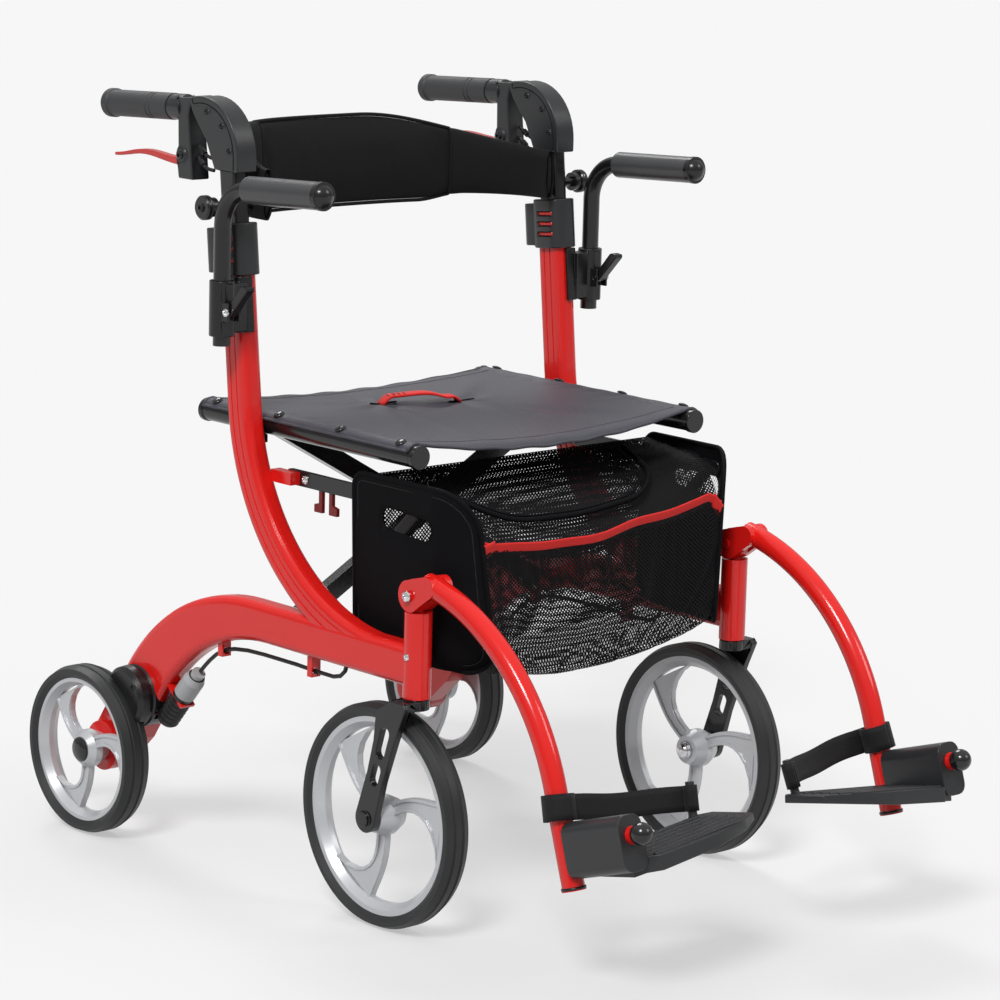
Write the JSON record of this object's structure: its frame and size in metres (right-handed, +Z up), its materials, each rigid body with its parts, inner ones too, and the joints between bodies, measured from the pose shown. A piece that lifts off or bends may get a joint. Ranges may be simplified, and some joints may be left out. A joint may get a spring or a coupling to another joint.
{
  "type": "rollator transport chair",
  "caption": "Folding four-wheel walker with sling seat, flip-over back strap, armrests, under-seat bag, cable brakes and lift-up footrests, also pushed as a transport chair.",
  "frame": {"origin": "on the floor, below the middle of the footprint", "axes": "+Z up, front along -Y, the seated user's left along +X"},
  "size_m": [0.6, 1.0284, 0.8959],
  "materials": {
    "frame_red": "gloss",
    "black_paint": "satin",
    "graphite_plastic": "matte",
    "black_plastic": "satin",
    "rim_silver": "satin",
    "tyre_black": "matte",
    "grip_rubber": "matte",
    "foam_grey": "matte",
    "lever_red": "gloss",
    "cable_black": "satin",
    "seat_nylon": "matte",
    "strap_red": "matte",
    "padded_black": "matte",
    "bag_nylon": "matte",
    "webbing": "matte",
    "tube_black": "satin"
  },
  "bodies": {
    "frame_right": {"side_frame_r": "frame_red", "height_clamp_r": "graphite_plastic", "armrest_bracket_r": "black_plastic", "rail_saddle_r": "black_plastic", "bag_bar_r": "black_paint", "brake_cover_r": "black_plastic", "brake_boot_r": "black_plastic", "brake_cable_r": "cable_black", "rear_axle_r": "black_paint", "footrest_post_r": "frame_red", "bag": "bag_nylon"},
    "frame_left": {"side_frame_l": "frame_red", "height_clamp_l": "graphite_plastic", "armrest_bracket_l": "black_plastic", "rail_saddle_l": "black_plastic", "bag_bar_l": "black_paint", "brake_cover_l": "black_plastic", "brake_boot_l": "black_plastic", "brake_cable_l": "cable_black", "rear_axle_l": "black_paint", "footrest_post_l": "frame_red"},
    "brace_a": {"brace_a": "black_paint"},
    "brace_b": {"brace_b": "black_paint", "seat_cloth": "seat_nylon", "seat_pull": "strap_red"},
    "caster_r": {"fork_r": "black_paint"},
    "front_wheel_r": {"front_tyre_r": "tyre_black", "front_rim_r": "rim_silver"},
    "rear_wheel_r": {"rear_tyre_r": "tyre_black", "rear_rim_r": "rim_silver"},
    "handle_r": {"handle_tube_r": "tube_black", "handle_hood_r": "graphite_plastic", "grip_r": "grip_rubber"},
    "lever_r": {"brake_lever_r": "lever_red"},
    "back_r": {"back_arm_r": "black_plastic", "back_strap": "padded_black"},
    "armrest_r": {"armrest_tube_r": "tube_black", "armrest_pad_r": "foam_grey"},
    "cam_r": {"cam_lever_r": "black_plastic"},
    "leg_r": {"footrest_leg_r": "frame_red", "heel_strap_r": "webbing"},
    "plate_r": {"footplate_r": "graphite_plastic"},
    "caster_l": {"fork_l": "black_paint"},
    "front_wheel_l": {"front_tyre_l": "tyre_black", "front_rim_l": "rim_silver"},
    "rear_wheel_l": {"rear_tyre_l": "tyre_black", "rear_rim_l": "rim_silver"},
    "handle_l": {"handle_tube_l": "tube_black", "handle_hood_l": "graphite_plastic", "grip_l": "grip_rubber"},
    "lever_l": {"brake_lever_l": "lever_red"},
    "back_l": {"back_arm_l": "black_plastic"},
    "armrest_l": {"armrest_tube_l": "tube_black", "armrest_pad_l": "foam_grey"},
    "cam_l": {"cam_lever_l": "black_plastic"},
    "leg_l": {"footrest_leg_l": "frame_red", "heel_strap_l": "webbing"},
    "plate_l": {"footplate_l": "graphite_plastic"}
  },
  "joints": [
    {"name": "fold", "type": "hinge", "parent": "frame_right", "child": "brace_a", "pos_m": [-0.205, 0.13075, 0.294], "axis": [0, -1, 0], "range_deg": [0, 41], "deforming": ["seat_cloth", "seat_pull", "back_strap", "bag"]},
    {"name": "brace_cross", "type": "hinge", "parent": "brace_a", "child": "brace_b", "pos_m": [0, 0.13975, 0.40882], "axis": [0, -1, 0], "range_deg": [-84, 0]},
    {"name": "frame_left_pivot", "type": "hinge", "parent": "brace_b", "child": "frame_left", "pos_m": [0.205, 0.14875, 0.294], "axis": [0, -1, 0], "range_deg": [0, 43]},
    {"name": "caster_r", "type": "hinge", "parent": "frame_right", "child": "caster_r", "pos_m": [-0.244, -0.14325, 0.29], "axis": [0, 0, 1], "continuous": true},
    {"name": "front_wheel_r", "type": "hinge", "parent": "caster_r", "child": "front_wheel_r", "pos_m": [-0.244, -0.09265, 0.127], "axis": [1, 0, 0], "continuous": true},
    {"name": "rear_wheel_r", "type": "hinge", "parent": "frame_right", "child": "rear_wheel_r", "pos_m": [-0.2825, 0.41275, 0.1015], "axis": [1, 0, 0], "continuous": true},
    {"name": "caster_l", "type": "hinge", "parent": "frame_left", "child": "caster_l", "pos_m": [0.244, -0.14325, 0.29], "axis": [0, 0, 1], "continuous": true},
    {"name": "front_wheel_l", "type": "hinge", "parent": "caster_l", "child": "front_wheel_l", "pos_m": [0.244, -0.09265, 0.127], "axis": [1, 0, 0], "continuous": true},
    {"name": "rear_wheel_l", "type": "hinge", "parent": "frame_left", "child": "rear_wheel_l", "pos_m": [0.2825, 0.41275, 0.1015], "axis": [1, 0, 0], "continuous": true},
    {"name": "handle_r", "type": "slide", "parent": "frame_right", "child": "handle_r", "axis": [0, 0.0993, 0.9951], "range_m": [0, 0.1]},
    {"name": "brake_lever_r", "type": "hinge", "parent": "handle_r", "child": "lever_r", "pos_m": [-0.244, 0.2728, 0.826], "axis": [1, 0, 0], "range_deg": [0, 14], "stiffness_Nm_per_rad": 1.2},
    {"name": "back_flip_r", "type": "hinge", "parent": "handle_r", "child": "back_r", "pos_m": [-0.222, 0.18901, 0.776], "axis": [1, 0, 0], "range_deg": [0, 105]},
    {"name": "armrest_r", "type": "slide", "parent": "frame_right", "child": "armrest_r", "axis": [0, 0, 1], "range_m": [0, 0.05]},
    {"name": "cam_r", "type": "hinge", "parent": "frame_right", "child": "cam_r", "pos_m": [-0.283, 0.14173, 0.663], "axis": [1, 0, 0], "range_deg": [0, 100]},
    {"name": "leg_lift_r", "type": "hinge", "parent": "frame_right", "child": "leg_r", "pos_m": [-0.244, -0.14325, 0.386], "axis": [-1, 0, 0], "range_deg": [0, 100]},
    {"name": "plate_flip_r", "type": "hinge", "parent": "leg_r", "child": "plate_r", "pos_m": [-0.246, -0.38907, 0.16337], "axis": [0, -0.9511, 0.309], "range_deg": [0, 92], "deforming": ["heel_strap_r"]},
    {"name": "handle_l", "type": "slide", "parent": "frame_left", "child": "handle_l", "axis": [0, 0.0993, 0.9951], "range_m": [0, 0.1]},
    {"name": "brake_lever_l", "type": "hinge", "parent": "handle_l", "child": "lever_l", "pos_m": [0.244, 0.2728, 0.826], "axis": [1, 0, 0], "range_deg": [0, 14], "stiffness_Nm_per_rad": 1.2},
    {"name": "back_flip_l", "type": "hinge", "parent": "handle_l", "child": "back_l", "pos_m": [0.222, 0.18901, 0.776], "axis": [1, 0, 0], "range_deg": [0, 105]},
    {"name": "armrest_l", "type": "slide", "parent": "frame_left", "child": "armrest_l", "axis": [0, 0, 1], "range_m": [0, 0.05]},
    {"name": "cam_l", "type": "hinge", "parent": "frame_left", "child": "cam_l", "pos_m": [0.283, 0.14173, 0.663], "axis": [1, 0, 0], "range_deg": [0, 100]},
    {"name": "leg_lift_l", "type": "hinge", "parent": "frame_left", "child": "leg_l", "pos_m": [0.244, -0.14325, 0.386], "axis": [-1, 0, 0], "range_deg": [0, 100]},
    {"name": "plate_flip_l", "type": "hinge", "parent": "leg_l", "child": "plate_l", "pos_m": [0.246, -0.38907, 0.16337], "axis": [0, 0.9511, -0.309], "range_deg": [0, 92], "deforming": ["heel_strap_l"]}
  ],
  "couplings": [
    {"joint": "brace_cross", "follows": "fold", "ratio": -2},
    {"joint": "frame_left_pivot", "follows": "fold", "ratio": 1},
    {"joint": "plate_flip_r", "follows": "fold", "ratio": 2.22},
    {"joint": "plate_flip_l", "follows": "fold", "ratio": 2.22},
    {"joint": "handle_l", "follows": "handle_r", "ratio": 1},
    {"joint": "back_flip_l", "follows": "back_flip_r", "ratio": 1}
  ]
}
